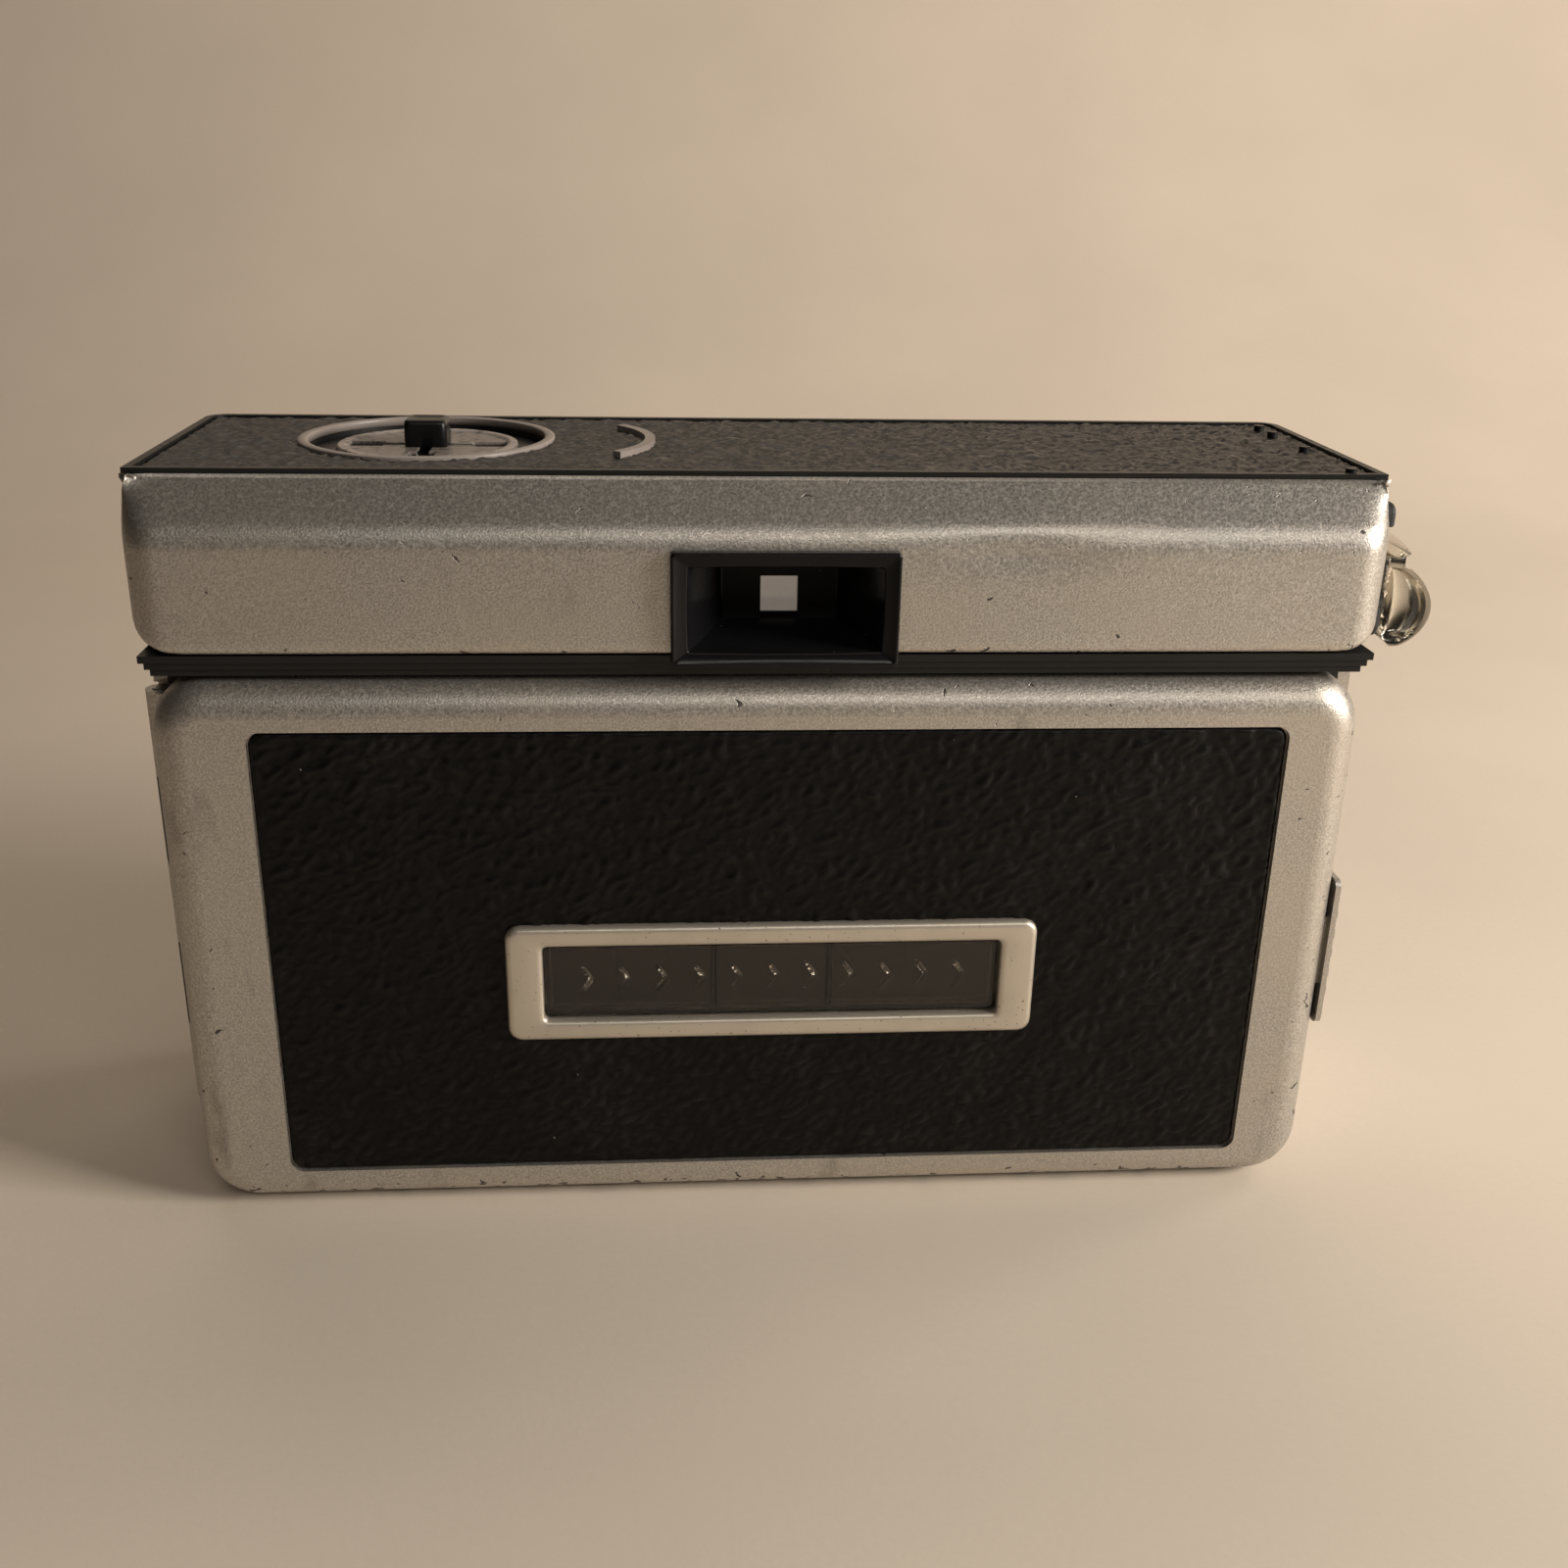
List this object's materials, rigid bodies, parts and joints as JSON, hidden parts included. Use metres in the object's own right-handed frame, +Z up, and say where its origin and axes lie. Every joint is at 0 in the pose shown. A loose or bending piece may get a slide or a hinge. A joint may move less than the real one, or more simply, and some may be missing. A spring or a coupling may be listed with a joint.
{
  "type": "cartridge film snapshot camera",
  "caption": "Compact film camera with hinged back, side wind lever, rear viewfinder eyepiece, film window and turning flash cube socket.",
  "frame": {"origin": "on the flat base, midway across the body and midway from the film door's face to the shell's front", "axes": "+X to the viewer's right, +Y the way the lens points, +Z up"},
  "size_m": [0.1139, 0.0468, 0.0707],
  "materials": {
    "black_plastic": "moulded, satin",
    "gloss_black": "polished moulding",
    "silver_paint": "metallic silver, fine flake",
    "champagne": "satin champagne silver",
    "leatherette": "fine grained vinyl",
    "chrome": "polished",
    "steel": "plain",
    "brass": "turned",
    "grey_plastic": "moulded",
    "optical": "clear",
    "foam": "open cell"
  },
  "bodies": {
    "camera": {"main_body": "black_plastic", "front_shell": "silver_paint", "rear_housing": "silver_paint", "top_cover": "black_plastic", "top_leatherette": "leatherette", "flash_arc": "champagne", "flash_ring": "champagne", "lever_panel": "leatherette", "lens_panel": "gloss_black", "front_leatherette_left": "leatherette", "front_leatherette_right": "leatherette", "case_screws": "steel", "shutter_plate": "black_plastic", "lens_board": "black_plastic", "plate_screws": "steel", "blade_pivot": "brass", "lens_barrel": "gloss_black", "lens_ring": "champagne", "taking_lens": "optical", "lens_retainer": "black_plastic", "eyepiece_frame": "gloss_black", "viewfinder_tunnel": "black_plastic", "eyepiece_lens": "optical", "objective_frame": "champagne", "objective_lens": "optical", "hinge_bracket": "black_plastic", "hinge_pin": "steel", "lever_post": "steel", "lever_spring": "steel", "wind_bush": "brass", "flash_bracket": "steel", "release_spring": "steel", "rocker_pivot": "steel"},
    "door": {"door_shell": "silver_paint", "door_leatherette": "leatherette", "window_bezel": "champagne", "window_pane": "optical", "window_seal": "foam", "cartridge_springs": "steel"},
    "latch": {"door_latch": "silver_paint"},
    "lever": {"wind_lever": "chrome", "lever_gear": "brass", "lever_nut": "steel"},
    "wind_drive": {"wind_shaft": "steel", "wind_gear": "brass"},
    "rack": {"flash_rack": "steel"},
    "flash_socket": {"flash_turntable": "black_plastic", "flash_disc": "grey_plastic", "flash_post": "black_plastic", "flash_pinion": "grey_plastic"},
    "release": {"shutter_release": "chrome"},
    "rocker": {"trip_rocker": "steel"},
    "striker": {"flash_striker": "steel"},
    "blade": {"shutter_blade": "steel"},
    "feeler": {"film_feeler": "steel"}
  },
  "joints": [
    {"name": "door_hinge", "type": "hinge", "parent": "camera", "child": "door", "pos_m": [-0.0524, -0.011, 0.03], "axis": [0, 0, -1], "range_deg": [0, 105]},
    {"name": "latch_slide", "type": "slide", "parent": "door", "child": "latch", "axis": [0, 0, -1], "range_m": [0, 0.003], "stiffness_N_per_m": 120, "springref_m": -0.002},
    {"name": "lever_hinge", "type": "hinge", "parent": "camera", "child": "lever", "pos_m": [0.04, -0.0012, 0.063], "axis": [0, 0, 1], "range_deg": [0, 46.15], "stiffness_Nm_per_rad": 0.01, "springref_deg": -22.92},
    {"name": "wind_turn", "type": "hinge", "parent": "camera", "child": "wind_drive", "pos_m": [0.03168, 0.0052, 0.059], "axis": [0, 0, 1], "range_deg": [-80, 5]},
    {"name": "rack_slide", "type": "slide", "parent": "camera", "child": "rack", "axis": [-1, 0, 0], "range_m": [-0.0005, 0.0083]},
    {"name": "socket_turn", "type": "hinge", "parent": "camera", "child": "flash_socket", "pos_m": [-0.0305, 0.0042, 0.067], "axis": [0, 0, 1], "range_deg": [-95, 5]},
    {"name": "release_slide", "type": "slide", "parent": "camera", "child": "release", "axis": [0, 0, -1], "range_m": [0, 0.004], "stiffness_N_per_m": 150, "springref_m": -0.002, "deforming": ["release_spring"]},
    {"name": "rocker_turn", "type": "hinge", "parent": "camera", "child": "rocker", "pos_m": [-0.0108, 0.013, 0.052], "axis": [0, 1, 0], "range_deg": [-1, 9]},
    {"name": "striker_slide", "type": "slide", "parent": "camera", "child": "striker", "axis": [0, 0, 1], "range_m": [-0.0003, 0.003]},
    {"name": "blade_turn", "type": "hinge", "parent": "camera", "child": "blade", "pos_m": [0.01, 0.007, 0.034], "axis": [0, 1, 0], "range_deg": [-2, 42]},
    {"name": "feeler_slide", "type": "slide", "parent": "camera", "child": "feeler", "axis": [0, 1, 0], "range_m": [0, 0.001], "stiffness_N_per_m": 40, "springref_m": -0.001}
  ],
  "couplings": [
    {"joint": "wind_turn", "follows": "lever_hinge", "ratio": -1.625},
    {"joint": "rack_slide", "follows": "lever_hinge", "m_per_rad": 0.00975},
    {"joint": "socket_turn", "follows": "lever_hinge", "ratio": -1.95},
    {"joint": "rocker_turn", "follows": "release_slide", "rad_per_m": 30.338},
    {"joint": "striker_slide", "follows": "release_slide", "ratio": 0.6},
    {"joint": "blade_turn", "follows": "release_slide", "rad_per_m": 174.53}
  ]
}
